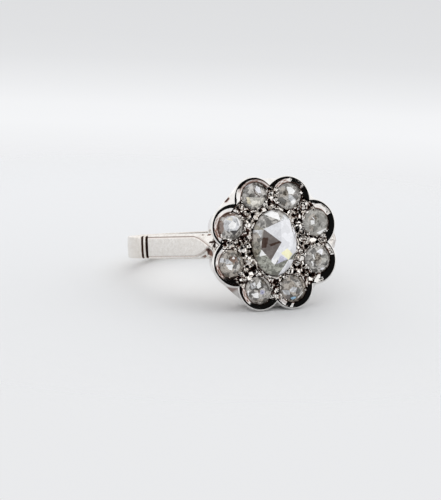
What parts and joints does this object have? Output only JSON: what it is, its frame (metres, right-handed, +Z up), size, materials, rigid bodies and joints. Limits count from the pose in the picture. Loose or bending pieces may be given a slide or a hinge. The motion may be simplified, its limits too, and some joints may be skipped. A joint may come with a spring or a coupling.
{
  "type": "cluster ring",
  "caption": "Finger ring whose scalloped flower head holds an oval rose-cut stone inside a circle of small round rose-cut stones.",
  "frame": {"origin": "middle of the bounding box, on the surface the ring lies on", "axes": "+X across the head, -Y out through the face of the head, +Z up from the surface; the finger's axis leans 13.3 degrees from +Z towards +Y"},
  "size_m": [0.0196, 0.024, 0.0126],
  "materials": {
    "white_gold": "polished white gold with a slight warm tint, worn fine",
    "centre_diamond": "clear, faceted",
    "side_diamond": "clear to slightly grey, faceted"
  },
  "bodies": {
    "root": {"ring_mount": "white_gold", "centre_stone": "centre_diamond", "side_stone_1": "side_diamond", "side_stone_2": "side_diamond", "side_stone_3": "side_diamond", "side_stone_4": "side_diamond", "side_stone_5": "side_diamond", "side_stone_6": "side_diamond", "side_stone_7": "side_diamond", "side_stone_8": "side_diamond"}
  },
  "joints": []
}
